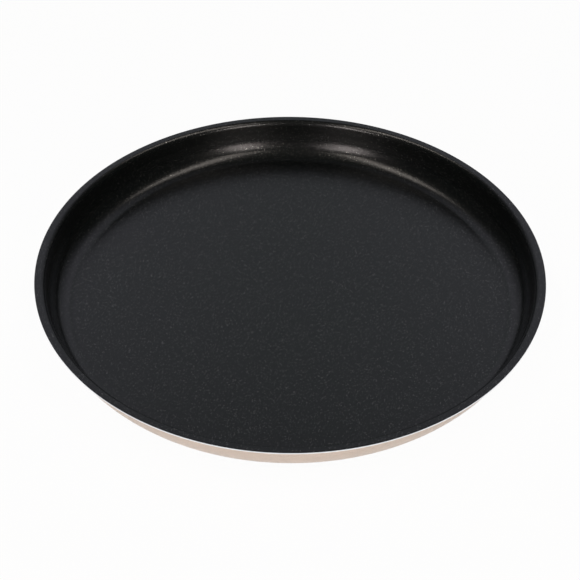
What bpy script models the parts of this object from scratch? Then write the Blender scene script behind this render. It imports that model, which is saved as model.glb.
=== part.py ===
"""Shallow round baking pan, pressed from one aluminium disc that was coated on both faces.

Metres, +Z up. The pan stands on Z = 0 and is round about the Z axis.

The pan is three layers that share one section: a dark non-stick lining inside, the
aluminium sheet, and a pale lacquer outside. The section runs from the middle of the flat
floor through a concave corner, which opens into a wider shoulder, up a nearly upright
wall, over a tight bend and out along a flat lip. Each layer lies between two lines
parallel to that section, so that every face of a layer nests against its neighbour. The
disc is trimmed after coating, which leaves the lip's edge as bare metal.
"""

import math

import bpy

MM = 0.001

# Overall sizes
RIM_DIAMETER = 300.0 * MM       # over the trimmed edge of the lip
HEIGHT = 24.2 * MM              # from the surface it stands on to the top of the lip

# The pressed section, measured on the sheet's inner face
LIP_WIDTH = 3.0 * MM            # flat part of the lip, from its trimmed edge to the bend
BEND_RADIUS = 2.6 * MM          # convex bend between the lip and the wall
WALL_LEAN = math.radians(5.0)   # the wall's lean from upright, outwards at the top
SHOULDER_RADIUS = 19.7 * MM     # concave shoulder under the wall
SHOULDER_END = math.radians(37.0)  # lean at which the shoulder gives way to the corner
CORNER_RADIUS = 12.6 * MM       # concave corner between the shoulder and the floor

# Layers
SHEET_THICKNESS = 0.8 * MM
LINING_THICKNESS = 0.1 * MM
LACQUER_THICKNESS = 0.1 * MM
COATING_CLEARANCE = 0.3 * MM    # between each coating and the sheet

# Smoothness
ROUND_STEPS = 80                # around the pan
CORNER_STEPS = 5                # through the concave corner
SHOULDER_STEPS = 3              # through the shoulder above it
BEND_STEPS = 4                  # through the bend at the lip
MERGE_DISTANCE = 0.01 * MM
SHARP_ANGLE = math.radians(40.0)

# Heights of the sheet's inner face
FLOOR_Z = LACQUER_THICKNESS + COATING_CLEARANCE + SHEET_THICKNESS
LIP_Z = HEIGHT - LINING_THICKNESS - COATING_CLEARANCE

COLLECTION_NAME = "round_baking_pan"


def clear_scene():
    """Removes every object of the scene."""
    for obj in list(bpy.data.objects):
        bpy.data.objects.remove(obj, do_unlink=True)


def arc(centre, radius, start, end, steps):
    """Points of an arc in the section plane, at angles from +R towards +Z."""
    points = []
    for step in range(steps + 1):
        angle = start + (end - start) * step / steps
        points.append((centre[0] + radius * math.cos(angle), centre[1] + radius * math.sin(angle)))
    return points


def fitted_radii():
    """Bend, shoulder and corner radii that the depth and the layers leave room for."""
    tightest_bend = SHEET_THICKNESS + COATING_CLEARANCE + LACQUER_THICKNESS + MERGE_DISTANCE
    tightest_corner = LINING_THICKNESS + COATING_CLEARANCE + MERGE_DISTANCE
    bend_share = 1.0 - math.sin(WALL_LEAN)
    shoulder_share = math.sin(SHOULDER_END) - math.sin(WALL_LEAN)
    corner_share = 1.0 - math.sin(SHOULDER_END)
    depth = LIP_Z - FLOOR_Z
    widest_bend = (depth - tightest_corner * (shoulder_share + corner_share)) / bend_share
    bend = min(max(BEND_RADIUS, tightest_bend), widest_bend)
    shoulder = max(SHOULDER_RADIUS, tightest_corner)
    corner = max(CORNER_RADIUS, tightest_corner)
    wanted = shoulder * shoulder_share + corner * corner_share
    fit = min((depth - bend * bend_share) / wanted, 1.0)
    return bend, shoulder * fit, corner * fit


def section_line(offset):
    """The section from the pan's axis to the lip's edge, moved into the pan by an offset."""
    bend, shoulder, corner = fitted_radii()
    bend_centre = (RIM_DIAMETER / 2.0 - LIP_WIDTH, LIP_Z - bend)
    corner_z = FLOOR_Z + corner
    shoulder_z = corner_z + (shoulder - corner) * math.sin(SHOULDER_END)
    rise = bend_centre[1] - shoulder_z
    inset = (rise * math.sin(WALL_LEAN) + bend + shoulder) / math.cos(WALL_LEAN)
    shoulder_centre = (bend_centre[0] - inset, shoulder_z)
    corner_centre = (shoulder_centre[0] + (shoulder - corner) * math.cos(SHOULDER_END), corner_z)
    points = [(0.0, FLOOR_Z + offset)]
    points += arc(corner_centre, corner - offset, -math.pi / 2.0, -SHOULDER_END, CORNER_STEPS)
    points += arc(shoulder_centre, shoulder - offset, -SHOULDER_END, -WALL_LEAN, SHOULDER_STEPS)[1:]
    points += arc(bend_centre, bend + offset, math.pi - WALL_LEAN, math.pi / 2.0, BEND_STEPS)
    points.append((RIM_DIAMETER / 2.0, LIP_Z + offset))
    return points


def layer_section(inner_offset, outer_offset):
    """Closed section of one layer: out along its inner face and back along its outer face."""
    return section_line(inner_offset) + section_line(outer_offset)[::-1]


def make_material(name, colour, roughness, metallic):
    """A material with one Principled shader."""
    material = bpy.data.materials.new(name)
    material.use_nodes = True
    shader = material.node_tree.nodes["Principled BSDF"]
    shader.inputs["Base Color"].default_value = (*colour, 1.0)
    shader.inputs["Roughness"].default_value = roughness
    shader.inputs["Metallic"].default_value = metallic
    material.diffuse_color = (*colour, 1.0)
    return material


def turn_layer(name, section, material, collection):
    """Turns a section about the Z axis into one closed layer."""
    line = bpy.data.meshes.new(name + "_section")
    edges = [(index, index + 1) for index in range(len(section) - 1)]
    line.from_pydata([(radius, 0.0, height) for radius, height in section], edges, [])
    obj = bpy.data.objects.new(name, line)
    collection.objects.link(obj)
    screw = obj.modifiers.new("Turn", "SCREW")
    screw.axis = "Z"
    screw.angle = math.tau
    screw.steps = ROUND_STEPS
    screw.render_steps = ROUND_STEPS
    screw.use_merge_vertices = True
    screw.merge_threshold = MERGE_DISTANCE
    depsgraph = bpy.context.evaluated_depsgraph_get()
    turned = bpy.data.meshes.new_from_object(obj.evaluated_get(depsgraph))
    turned.name = name
    obj.modifiers.clear()
    obj.data = turned
    bpy.data.meshes.remove(line)
    turned.shade_smooth()
    turned.set_sharp_from_angle(angle=SHARP_ANGLE)
    turned.materials.clear()
    turned.materials.append(material)
    return obj


def build_sheet(collection):
    """The pressed aluminium disc that carries both coatings."""
    material = make_material("bare_aluminium", (0.80, 0.81, 0.84), 0.35, 1.0)
    section = layer_section(0.0, -SHEET_THICKNESS)
    return turn_layer("pan_shell", section, material, collection)


def build_lining(collection):
    """The dark non-stick coating over the floor, the wall and the lip's top."""
    material = make_material("nonstick_black", (0.012, 0.012, 0.013), 0.42, 0.0)
    near_face = COATING_CLEARANCE
    section = layer_section(near_face + LINING_THICKNESS, near_face)
    return turn_layer("nonstick_lining", section, material, collection)


def build_lacquer(collection):
    """The pale coating under the floor, outside the wall and under the lip."""
    material = make_material("cream_lacquer", (0.66, 0.55, 0.47), 0.38, 0.0)
    near_face = -SHEET_THICKNESS - COATING_CLEARANCE
    section = layer_section(near_face, near_face - LACQUER_THICKNESS)
    return turn_layer("exterior_lacquer", section, material, collection)


def main():
    """Builds the three layers of the pan."""
    clear_scene()
    collection = bpy.data.collections.new(COLLECTION_NAME)
    bpy.context.scene.collection.children.link(collection)
    build_sheet(collection)
    build_lining(collection)
    build_lacquer(collection)


main()
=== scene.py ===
"""Dresses the shallow round baking pan and sets it in a plain pale studio.

Metres, +Z up. The pan is one pressed sheet, coated on both faces. Here its three layers are
turned again as fine meshes that share one section and lie tight on each other: a speckled
non-stick lining, the sheet, which shows only as the bright trimmed edge of the lip, and a
cream lacquer. Each takes its overall size from the model's own box.
"""

import math

import bpy
from mathutils import Matrix, Vector


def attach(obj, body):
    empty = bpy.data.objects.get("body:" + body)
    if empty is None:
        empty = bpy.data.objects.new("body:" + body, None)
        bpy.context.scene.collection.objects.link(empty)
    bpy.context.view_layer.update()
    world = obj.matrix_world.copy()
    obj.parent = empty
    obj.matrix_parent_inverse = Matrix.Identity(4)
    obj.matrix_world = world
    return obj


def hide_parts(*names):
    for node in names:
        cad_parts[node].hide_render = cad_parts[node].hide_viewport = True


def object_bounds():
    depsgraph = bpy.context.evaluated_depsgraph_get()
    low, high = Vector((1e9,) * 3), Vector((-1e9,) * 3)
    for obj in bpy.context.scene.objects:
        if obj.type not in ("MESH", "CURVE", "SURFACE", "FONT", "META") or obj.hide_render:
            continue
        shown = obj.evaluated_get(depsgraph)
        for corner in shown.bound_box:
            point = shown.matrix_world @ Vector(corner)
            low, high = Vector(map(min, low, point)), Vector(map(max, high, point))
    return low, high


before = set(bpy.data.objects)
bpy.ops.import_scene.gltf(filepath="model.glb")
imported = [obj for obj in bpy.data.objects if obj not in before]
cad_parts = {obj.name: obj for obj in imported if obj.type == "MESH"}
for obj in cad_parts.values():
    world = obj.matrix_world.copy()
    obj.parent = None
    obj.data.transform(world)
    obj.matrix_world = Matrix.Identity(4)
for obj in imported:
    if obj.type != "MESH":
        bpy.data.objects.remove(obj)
cad_low, cad_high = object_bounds()

MM = 0.001

# Overall sizes, from the model
RIM_RADIUS = cad_high.x
HEIGHT = cad_high.z

# The pressed section, measured on the coated inner face
LIP_WIDTH = 3.43 * MM            # from the trimmed edge to the crease
CREASE_RADIUS = 1.0 * MM         # tight start of the convex bend between the lip and the wall
CREASE_END = math.radians(26.0)  # tilt at which the crease gives way to the wider bend
BEND_RADIUS = 4.2 * MM           # wider rest of that bend
WALL_LEAN = math.radians(5.0)    # from upright, outwards at the top
SHOULDER_RADIUS = 19.3 * MM      # upper, wider part of the corner between the wall and the floor
SHOULDER_END = math.radians(37.0)
CORNER_RADIUS = 12.4 * MM        # lower, tighter part of the corner

# Layers, each bonded to the next
LINING_THICKNESS = 0.06 * MM
SHEET_THICKNESS = 0.78 * MM
LACQUER_THICKNESS = 0.06 * MM
EDGE_SETBACK = 0.01 * MM         # the coatings stop this far inside the sheet's sheared edge
EDGE_ROUNDING = 0.03 * MM        # the sheared edge's worn arrises

# Smoothness of the turned meshes
ROUND_STEPS = 360
CORNER_STEPS = 36
BEND_STEPS = 20
CREASE_STEPS = 8
SHOULDER_STEPS = 24
FLOOR_RINGS = 16
ARRIS_STEPS = 3
MERGE_DISTANCE = 0.002 * MM
SHARP_ANGLE = math.radians(35.0)

# The photograph's viewpoint, aimed at a point on the rim's plane
CAMERA_DISTANCE = 0.8
CAMERA_ELEVATION = math.radians(40.583)
CAMERA_AIM = (-0.00005, -0.02533)
CAMERA_ROLL = math.radians(0.417)
FIELD_OF_VIEW = math.radians(24.223)

# Surroundings, as light colours against white
DIM_SIDES = (0.043, 0.045, 0.042)
DIM_ZENITH = (0.06, 0.063, 0.06)
PALE_UNDERSIDE = (0.8, 0.8, 0.8)    # under the floor, where only the pan's base is lit by it
PALE_BACK_FOOT = (0.17, 0.18, 0.19)
PALE_BACK = (0.465, 0.49, 0.53)     # the middle of the back
PALE_BACK_SIDES = (0.625, 0.625, 0.71)

# Where the surroundings blend upwards, as sines of the height above the horizon
ZENITH_BLEND = (0.3, 1.0)           # from the sides to the zenith
UNDERSIDE_BLEND = (-0.1, -0.2)      # from the sides to the underside
BACK_FOOT_BLEND = (0.0, 0.65)       # from the foot of the back to its upper part
BACK_TOP = (math.sin(math.radians(47.0)), math.sin(math.radians(59.0)))
BACK_SIDES_TOP = (math.sin(math.radians(44.0)), math.sin(math.radians(78.0)))

# Where they blend round the pan, by the heading from straight behind it
BACK_EDGE = (0.38, 0.96)            # cosines, from no back to the whole of it
BACK_SIDES_BLEND = (0.0, 0.25)      # sines, from the middle of the back to its sides

# Two upright strip lights on the viewer's side: headings of foot and top from there, width,
# brightness and tint
STRIP_DISTANCE = 2.0
STRIP_FOOT = 0.45
STRIP_TOP = 1.46
STRIP_LIGHTS = (
    ("strip_left", (math.radians(-28.7), math.radians(-25.5)), 0.48, 7.3, (1.10, 1.0, 0.97)),
    ("strip_right", (math.radians(24.7), math.radians(22.3)), 0.42, 7.3, (1.10, 1.0, 0.95)),
)

# Two long soft boxes overhead, in two lengths each: near end, far end, brightness and tint
OVERHEAD_HEIGHT = 1.32
OVERHEAD_WIDTH = 0.25
OVERHEAD_LIGHTS = (
    ("overhead_left", (-0.570, -0.90), (-0.600, 0.14), 4.6, (1.09, 1.0, 0.92)),
    ("overhead_left_end", (-0.600, 0.14), (-0.609, 0.43), 3.2, (1.09, 1.0, 0.92)),
    ("overhead_right", (0.460, -0.94), (0.597, 0.14), 4.4, (1.09, 1.0, 0.92)),
    ("overhead_right_end", (0.597, 0.14), (0.635, 0.43), 2.9, (1.09, 1.0, 0.92)),
)

# The floor
FLOOR_SIZE = 40.0
FLOOR_Z = 0.02 * MM                 # a hair above the base's face, so that they share no plane
FLOOR_TONE = (0.9, 0.9, 0.9)
FLOOR_ROUGHNESS = 0.9
FLOOR_GLOW = 0.96                   # share of plain white that the camera and mirrors see

# The lining's film
LINING_BLACK = (0.0024, 0.0033, 0.0033)
LINING_IOR = 1.46
FILM_GRAIN = {"scale": 1500.0, "detail": 2.0, "roughness": 0.6}  # scales are cells to the metre
FILM_ROUGHNESS = (0.20, 0.25)
FILM_RELIEF = (0.3, 0.02 * MM)      # strength and depth
FLOOR_ROUGHER = 0.02                # more than the film, where it faces up
FLOOR_FACING = (0.95, 1.0)
WALL_ROUGHER = 0.15                 # more than the film, where it is nearly upright
WALL_FACING = (0.15, 0.45)

# The lining's flakes
FLAKE_CELLS = 2500.0                # to the metre
FLAKE_CHOICE = (0.925, 0.945)       # random numbers above these carry a flake
FLAKE_RADIUS = (0.40, 0.60)         # where a flake fades out, in cells
FLAKE_SHINE = (0.14, 0.144, 0.14)
RARE_CHOICE = (0.985, 0.99)
RARE_SHINE = (0.28, 0.275, 0.265)
FLAKE_METALLIC = 0.9
FLAKE_TILT = (0.06, 0.16)           # how far the plain cells lean, and how far the flakes do
SCRAMBLE = 977.0                    # draws a third random number from the first

# The sheared edge
EDGE_TONE = (0.91, 0.92, 0.95)
EDGE_DARK = (0.86, 0.87, 0.90)
EDGE_LIGHT = (0.96, 0.97, 1.0)
EDGE_IOR = 1.45
EDGE_MARKS = {"scale": 6000.0, "detail": 3.0}
EDGE_STRETCH = (1.0, 1.0, 0.08)     # draws the marks out upwards
EDGE_ROUGHNESS = (0.28, 0.42)
EDGE_RELIEF = (0.15, 0.01 * MM)

# The cream lacquer
CREAM = (0.774, 0.677, 0.596)
CREAM_DARK = (0.745, 0.652, 0.574)
CREAM_LIGHT = (0.803, 0.702, 0.618)
LACQUER_IOR = 1.5
LACQUER_GRAIN = {"scale": 1400.0, "detail": 3.0}
LACQUER_CLOUD = {"scale": 60.0, "detail": 2.0}
LACQUER_EVENNESS = (0.0, 0.25)      # share of plain cream over the grain's tones
LACQUER_ROUGHNESS = (0.36, 0.44)
LACQUER_RELIEF = (0.12, 0.02 * MM)

NOISE_SPAN = (0.3, 0.7)             # where nearly all of a noise's values lie


def arc(centre, radius, start, end, steps):
    """Points of an arc in the section plane, at angles from +R towards +Z."""
    points = []
    for step in range(steps + 1):
        angle = start + (end - start) * step / steps
        points.append((centre[0] + radius * math.cos(angle), centre[1] + radius * math.sin(angle)))
    return points


def section_line(depth, end_radius):
    """The section from the pan's axis to the lip's edge, at a depth below the inner face."""
    stack = LINING_THICKNESS + SHEET_THICKNESS + LACQUER_THICKNESS
    lean, end, break_tilt = WALL_LEAN, SHOULDER_END, CREASE_END
    crease_centre = (RIM_RADIUS - LIP_WIDTH, HEIGHT - CREASE_RADIUS)
    bend_centre = (crease_centre[0] + (BEND_RADIUS - CREASE_RADIUS) * math.sin(break_tilt),
                   crease_centre[1] - (BEND_RADIUS - CREASE_RADIUS) * math.cos(break_tilt))
    corner_z = stack + CORNER_RADIUS
    shoulder_z = corner_z + (SHOULDER_RADIUS - CORNER_RADIUS) * math.sin(end)
    rise = bend_centre[1] - shoulder_z
    inset = (rise * math.sin(lean) + BEND_RADIUS + SHOULDER_RADIUS) / math.cos(lean)
    shoulder_centre = (bend_centre[0] - inset, shoulder_z)
    corner_r = shoulder_centre[0] + (SHOULDER_RADIUS - CORNER_RADIUS) * math.cos(end)
    corner_centre = (corner_r, corner_z)
    floor_z = stack - depth
    points = [(corner_centre[0] * ring / FLOOR_RINGS, floor_z) for ring in range(FLOOR_RINGS)]
    points += arc(corner_centre, CORNER_RADIUS + depth, -math.pi / 2.0, -end, CORNER_STEPS)
    points += arc(shoulder_centre, SHOULDER_RADIUS + depth, -end, -lean, SHOULDER_STEPS)[1:]
    bend_end = math.pi / 2.0 + break_tilt
    points += arc(bend_centre, BEND_RADIUS - depth, math.pi - lean, bend_end, BEND_STEPS)
    points += arc(crease_centre, CREASE_RADIUS - depth, bend_end, math.pi / 2.0, CREASE_STEPS)[1:]
    points.append((end_radius, HEIGHT - depth))
    return points


def coating_section(top, bottom):
    """Closed section of a coating whose outer end stops short of the sheared edge."""
    end_radius = RIM_RADIUS - EDGE_SETBACK
    return section_line(top, end_radius) + section_line(bottom, end_radius)[::-1]


def sheet_section():
    """Closed section of the sheet, with small rounded arrises on its sheared edge."""
    top = LINING_THICKNESS
    bottom = LINING_THICKNESS + SHEET_THICKNESS
    arris_radius = RIM_RADIUS - EDGE_ROUNDING
    upper_centre = (arris_radius, HEIGHT - top - EDGE_ROUNDING)
    lower_centre = (arris_radius, HEIGHT - bottom + EDGE_ROUNDING)
    upper = arc(upper_centre, EDGE_ROUNDING, math.pi / 2.0, 0.0, ARRIS_STEPS)
    lower = arc(lower_centre, EDGE_ROUNDING, 0.0, -math.pi / 2.0, ARRIS_STEPS)
    inner = section_line(top, arris_radius)[:-1]
    outer = section_line(bottom, arris_radius)[:-1]
    return inner + upper + lower + outer[::-1]


def turn(name, section):
    """Turns a closed section about the Z axis into one closed mesh."""
    line = bpy.data.meshes.new(name + "_section")
    edges = [(index, index + 1) for index in range(len(section) - 1)]
    line.from_pydata([(radius, 0.0, height) for radius, height in section], edges, [])
    piece = bpy.data.objects.new(name, line)
    bpy.context.scene.collection.objects.link(piece)
    screw = piece.modifiers.new("Turn", "SCREW")
    screw.axis = "Z"
    screw.angle = math.tau
    screw.steps = ROUND_STEPS
    screw.render_steps = ROUND_STEPS
    screw.use_merge_vertices = True
    screw.merge_threshold = MERGE_DISTANCE
    depsgraph = bpy.context.evaluated_depsgraph_get()
    turned = bpy.data.meshes.new_from_object(piece.evaluated_get(depsgraph))
    turned.name = name
    piece.modifiers.clear()
    piece.data = turned
    bpy.data.meshes.remove(line)
    turned.shade_smooth()
    turned.set_sharp_from_angle(angle=SHARP_ANGLE)
    return piece


class Shading:
    """A node tree with short calls to add and join its nodes."""

    def __init__(self, owner):
        owner.use_nodes = True
        self.tree = owner.node_tree
        self.nodes = self.tree.nodes

    def add(self, kind, inputs=None, **settings):
        """Adds a node. Inputs are values, or sockets to link."""
        node = self.nodes.new(kind)
        for name, value in settings.items():
            setattr(node, name, value)
        for name, value in (inputs or {}).items():
            self.put(node, name, value)
        return node

    def put(self, node, name, value):
        """Sets or links one input of a node."""
        if isinstance(value, bpy.types.NodeSocket):
            self.tree.links.new(value, node.inputs[name])
        else:
            node.inputs[name].default_value = value

    def ramp(self, value, span, result=(0.0, 1.0), smooth=True):
        """Maps a value from a span to the result's span, clamped."""
        node = self.add("ShaderNodeMapRange", {
            "Value": value, "From Min": span[0], "From Max": span[1],
            "To Min": result[0], "To Max": result[1],
        })
        node.interpolation_type = "SMOOTHSTEP" if smooth else "LINEAR"
        return node.outputs["Result"]

    def maths(self, operation, first, second=0.0):
        """One step of arithmetic."""
        node = self.add("ShaderNodeMath", {0: first, 1: second}, operation=operation)
        return node.outputs["Value"]

    def vectors(self, operation, first, second=None, scale=None):
        """One step of arithmetic on vectors."""
        inputs = {0: first}
        if second is not None:
            inputs[1] = second
        if scale is not None:
            inputs["Scale"] = scale
        node = self.add("ShaderNodeVectorMath", inputs, operation=operation)
        return node.outputs["Vector"]

    def mix(self, factor, first, second):
        """Blends two colours or colour sockets."""
        node = self.add("ShaderNodeMix", data_type="RGBA")
        self.put(node, "Factor", factor)
        for place, colour in ((6, first), (7, second)):
            if isinstance(colour, bpy.types.NodeSocket):
                self.tree.links.new(colour, node.inputs[place])
            else:
                node.inputs[place].default_value = (*colour, 1.0)
        return node.outputs[2]

    def object_point(self):
        """The surface point in the object's own coordinates."""
        return self.add("ShaderNodeTexCoord").outputs["Object"]

    def noise(self, point, scale, detail, roughness=0.5):
        """Noise of a size given in cells to the metre."""
        node = self.add("ShaderNodeTexNoise", {
            "Vector": point, "Scale": scale, "Detail": detail, "Roughness": roughness,
        })
        return node.outputs["Fac"]

    def cells(self, point, scale):
        """Random cells: the distance from each one's middle, and a random colour for each."""
        node = self.add("ShaderNodeTexVoronoi", {"Vector": point, "Scale": scale})
        return node.outputs["Distance"], node.outputs["Color"]

    def relief(self, shader, shape, height, normal=None):
        """Adds a shallow relief, of a strength and a depth, to the shader's normal."""
        inputs = {"Strength": shape[0], "Distance": shape[1], "Height": height}
        if normal is not None:
            inputs["Normal"] = normal
        self.put(shader, "Normal", self.add("ShaderNodeBump", inputs).outputs["Normal"])


def new_material(name, colour, metallic, ior):
    """A material whose shader holds the uniform values."""
    material = bpy.data.materials.new(name)
    shading = Shading(material)
    shader = shading.nodes["Principled BSDF"]
    shader.inputs["Base Color"].default_value = (*colour, 1.0)
    shader.inputs["Metallic"].default_value = metallic
    shader.inputs["IOR"].default_value = ior
    material.diffuse_color = (*colour, 1.0)
    return material, shading, shader


def lining_material():
    """Charcoal non-stick coating: a fine uneven film with sparse pale mineral flakes."""
    material, shading, shader = new_material(
        "nonstick_lining_finish", LINING_BLACK, 0.0, LINING_IOR)
    point = shading.object_point()

    distance, random = shading.cells(point, FLAKE_CELLS)
    separate = shading.add("ShaderNodeSeparateColor", {"Color": random})
    red = separate.outputs["Red"]
    chosen = shading.ramp(red, FLAKE_CHOICE)
    flake = shading.maths("MULTIPLY", chosen, shading.ramp(distance, FLAKE_RADIUS, (1.0, 0.0)))
    shine = shading.mix(shading.ramp(red, RARE_CHOICE), FLAKE_SHINE, RARE_SHINE)
    shading.put(shader, "Base Color", shading.mix(flake, LINING_BLACK, shine))
    shading.put(shader, "Metallic", shading.maths("MULTIPLY", flake, FLAKE_METALLIC))

    grain = shading.noise(point, **FILM_GRAIN)
    facing = shading.add("ShaderNodeSeparateXYZ", {
        0: shading.add("ShaderNodeTexCoord").outputs["Normal"],
    }).outputs["Z"]
    film = shading.ramp(grain, NOISE_SPAN, FILM_ROUGHNESS, smooth=False)
    floor = shading.ramp(facing, FLOOR_FACING, (0.0, FLOOR_ROUGHER))
    wall = shading.ramp(facing, WALL_FACING, (WALL_ROUGHER, 0.0))
    film = shading.maths("ADD", shading.maths("ADD", film, floor), wall)
    shading.put(shader, "Roughness", film)

    third = shading.maths("FRACT", shading.maths("MULTIPLY", red, SCRAMBLE))
    loose = shading.add("ShaderNodeCombineXYZ", {
        "X": separate.outputs["Green"], "Y": separate.outputs["Blue"], "Z": third,
    })
    centred = shading.vectors("SUBTRACT", loose.outputs["Vector"], (0.5, 0.5, 0.5))
    reach = shading.ramp(flake, (0.0, 1.0), FLAKE_TILT, smooth=False)
    lean = shading.vectors("SCALE", centred, scale=reach)
    normal = shading.add("ShaderNodeNewGeometry").outputs["Normal"]
    tilted = shading.vectors("NORMALIZE", shading.vectors("ADD", normal, lean))
    shading.relief(shader, FILM_RELIEF, grain, tilted)
    return material


def edge_material():
    """Bare aluminium of the sheared edge: satin, with fine upright shear marks."""
    material, shading, shader = new_material("sheared_edge_finish", EDGE_TONE, 1.0, EDGE_IOR)
    point = shading.object_point()
    stretched = shading.add("ShaderNodeMapping", {"Vector": point, "Scale": EDGE_STRETCH})
    marks = shading.noise(stretched.outputs["Vector"], **EDGE_MARKS)
    shading.put(shader, "Base Color", shading.mix(marks, EDGE_DARK, EDGE_LIGHT))
    shading.put(shader, "Roughness", shading.ramp(marks, NOISE_SPAN, EDGE_ROUGHNESS, smooth=False))
    shading.relief(shader, EDGE_RELIEF, marks)
    return material


def lacquer_material():
    """Cream lacquer: satin, faintly grained like a sprayed and stoved coat."""
    material, shading, shader = new_material("cream_lacquer_finish", CREAM, 0.0, LACQUER_IOR)
    point = shading.object_point()
    grain = shading.noise(point, **LACQUER_GRAIN)
    cloud = shading.noise(point, **LACQUER_CLOUD)
    tone = shading.mix(shading.ramp(grain, NOISE_SPAN), CREAM_DARK, CREAM_LIGHT)
    evenness = shading.ramp(cloud, NOISE_SPAN, LACQUER_EVENNESS)
    shading.put(shader, "Base Color", shading.mix(evenness, tone, CREAM))
    roughness = shading.ramp(grain, NOISE_SPAN, LACQUER_ROUGHNESS, smooth=False)
    shading.put(shader, "Roughness", roughness)
    shading.relief(shader, LACQUER_RELIEF, grain)
    return material


def add_layer(name, section, material, node):
    """One turned layer, in the place of its plain node."""
    piece = turn(name, section)
    piece.data.materials.clear()
    piece.data.materials.append(material)
    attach(piece, "root")
    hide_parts(node)
    return piece


def build_pan():
    """The three layers, from the inside out."""
    lining_depth = LINING_THICKNESS
    sheet_depth = lining_depth + SHEET_THICKNESS
    lacquer_depth = sheet_depth + LACQUER_THICKNESS
    add_layer("speckled_lining", coating_section(0.0, lining_depth), lining_material(),
              "nonstick_lining")
    add_layer("pressed_sheet", sheet_section(), edge_material(), "pan_shell")
    add_layer("cream_coat", coating_section(sheet_depth, lacquer_depth), lacquer_material(),
              "exterior_lacquer")


def build_floor():
    """A wide pale floor that reads as white and keeps a soft shadow; from below it is clear."""
    mesh = bpy.data.meshes.new("studio_floor")
    half = FLOOR_SIZE / 2.0
    corners = [(-half, -half), (half, -half), (half, half), (-half, half)]
    mesh.from_pydata([(*corner, FLOOR_Z) for corner in corners], [], [(0, 1, 2, 3)])
    floor = bpy.data.objects.new("studio_floor", mesh)
    bpy.context.scene.collection.objects.link(floor)
    material = bpy.data.materials.new("studio_floor_white")
    shading = Shading(material)
    shader = shading.nodes["Principled BSDF"]
    output = shading.nodes["Material Output"]
    shader.inputs["Base Color"].default_value = (*FLOOR_TONE, 1.0)
    shader.inputs["Roughness"].default_value = FLOOR_ROUGHNESS
    path = shading.add("ShaderNodeLightPath")
    seen = shading.maths("MAXIMUM", path.outputs["Is Camera Ray"], path.outputs["Is Glossy Ray"])
    seen = shading.maths("MAXIMUM", seen, path.outputs["Is Transmission Ray"])
    white = shading.add("ShaderNodeEmission", {"Strength": 1.0})
    share = shading.maths("MULTIPLY", seen, FLOOR_GLOW)
    blend = shading.add("ShaderNodeMixShader", {
        0: share, 1: shader.outputs[0], 2: white.outputs[0],
    })
    under = shading.add("ShaderNodeNewGeometry").outputs["Backfacing"]
    clear = shading.add("ShaderNodeBsdfTransparent")
    sided = shading.add("ShaderNodeMixShader", {
        0: under, 1: blend.outputs[0], 2: clear.outputs[0],
    })
    shading.tree.links.new(sided.outputs[0], output.inputs["Surface"])
    mesh.materials.append(material)


def build_surroundings():
    """A dim room with a pale back, which the dark coating mirrors. The camera sees it white."""
    world = bpy.data.worlds.new("studio_room")
    bpy.context.scene.world = world
    shading = Shading(world)
    heading = shading.add("ShaderNodeTexCoord").outputs["Generated"]
    split = shading.add("ShaderNodeSeparateXYZ", {0: heading})
    height = split.outputs["Z"]
    flat = shading.add("ShaderNodeCombineXYZ", {0: split.outputs["X"], 1: split.outputs["Y"]})
    level = shading.vectors("NORMALIZE", flat.outputs[0])
    turned = shading.add("ShaderNodeSeparateXYZ", {0: level})
    sideways = shading.maths("ABSOLUTE", turned.outputs["X"])

    room = shading.mix(shading.ramp(height, ZENITH_BLEND), DIM_SIDES, DIM_ZENITH)
    room = shading.mix(shading.ramp(height, UNDERSIDE_BLEND), room, PALE_UNDERSIDE)
    aside = shading.ramp(sideways, BACK_SIDES_BLEND)
    back = shading.mix(aside, PALE_BACK, PALE_BACK_SIDES)
    above_foot = shading.ramp(height, BACK_FOOT_BLEND, smooth=False)
    back = shading.mix(above_foot, PALE_BACK_FOOT, back)

    middle_top = shading.ramp(height, BACK_TOP, (1.0, 0.0))
    sides_top = shading.ramp(height, BACK_SIDES_TOP, (1.0, 0.0))
    below_top = shading.maths("MAXIMUM", middle_top, shading.maths("MULTIPLY", sides_top, aside))
    behind = shading.ramp(turned.outputs["Y"], BACK_EDGE)
    studio = shading.mix(shading.maths("MULTIPLY", below_top, behind), room, back)

    path = shading.add("ShaderNodeLightPath").outputs
    seen = shading.maths("MAXIMUM", path["Is Camera Ray"], path["Is Transmission Ray"])
    background = shading.nodes["Background"]
    shading.put(background, "Color", shading.mix(seen, studio, (1.0, 1.0, 1.0)))


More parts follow.
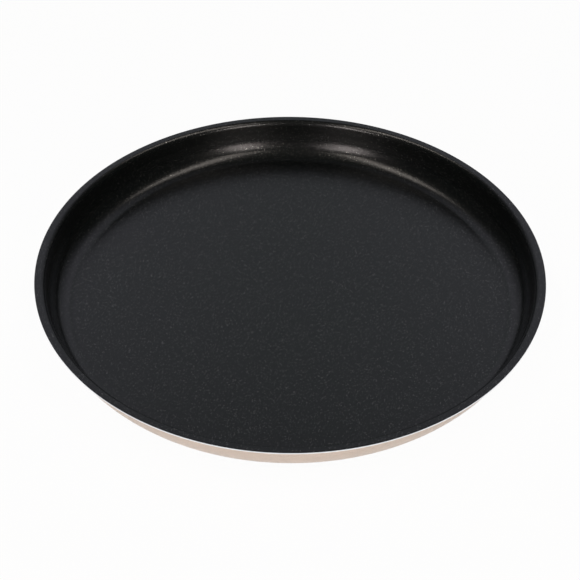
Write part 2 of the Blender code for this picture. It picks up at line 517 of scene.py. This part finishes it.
def add_lamp(name, start, end, width, brightness, tint):
    """A rectangular area lamp from one end to the other, which faces the pan."""
    centre = (start + end) / 2.0
    along = (end - start).normalized()
    length = (end - start).length
    lamp = bpy.data.lights.new(name, "AREA")
    lamp.shape = "RECTANGLE"
    lamp.size = width
    lamp.size_y = length
    lamp.energy = brightness * width * length * math.pi
    lamp.color = tint
    away = (centre - along * centre.dot(along)).normalized()
    across = along.cross(away)
    place = Matrix((across, along, away)).transposed().to_4x4()
    place.translation = centre
    holder = bpy.data.objects.new(name, lamp)
    holder.matrix_world = place
    holder.visible_camera = False
    bpy.context.scene.collection.objects.link(holder)


def build_lights():
    """Upright strips near the viewer and long soft boxes overhead."""
    for name, headings, width, brightness, tint in STRIP_LIGHTS:
        ends = []
        for heading, height in zip(headings, (STRIP_FOOT, STRIP_TOP)):
            outward = Vector((math.sin(heading), -math.cos(heading), 0.0))
            ends.append(outward * STRIP_DISTANCE + Vector((0.0, 0.0, height)))
        add_lamp(name, *ends, width, brightness, tint)
    for name, near_end, far_end, brightness, tint in OVERHEAD_LIGHTS:
        ends = [Vector((*end, OVERHEAD_HEIGHT)) for end in (near_end, far_end)]
        add_lamp(name, *ends, OVERHEAD_WIDTH, brightness, tint)


def build_camera():
    """The camera at the photograph's viewing angle."""
    heading = Vector((0.0, -math.cos(CAMERA_ELEVATION), math.sin(CAMERA_ELEVATION)))
    place = Vector((0.0, 0.0, HEIGHT)) + heading * CAMERA_DISTANCE
    aim = Vector((*CAMERA_AIM, HEIGHT))
    turn_to_aim = (aim - place).to_track_quat("-Z", "Y").to_matrix().to_4x4()
    camera = bpy.data.cameras.new("camera")
    camera.lens_unit = "FOV"
    camera.angle = FIELD_OF_VIEW
    holder = bpy.data.objects.new("camera", camera)
    holder.matrix_world = (Matrix.Translation(place) @ turn_to_aim
                           @ Matrix.Rotation(CAMERA_ROLL, 4, "Z"))
    bpy.context.scene.collection.objects.link(holder)
    bpy.context.scene.camera = holder


build_pan()
build_floor()
build_surroundings()
build_lights()
build_camera()
bpy.context.scene.view_settings.view_transform = "Standard"
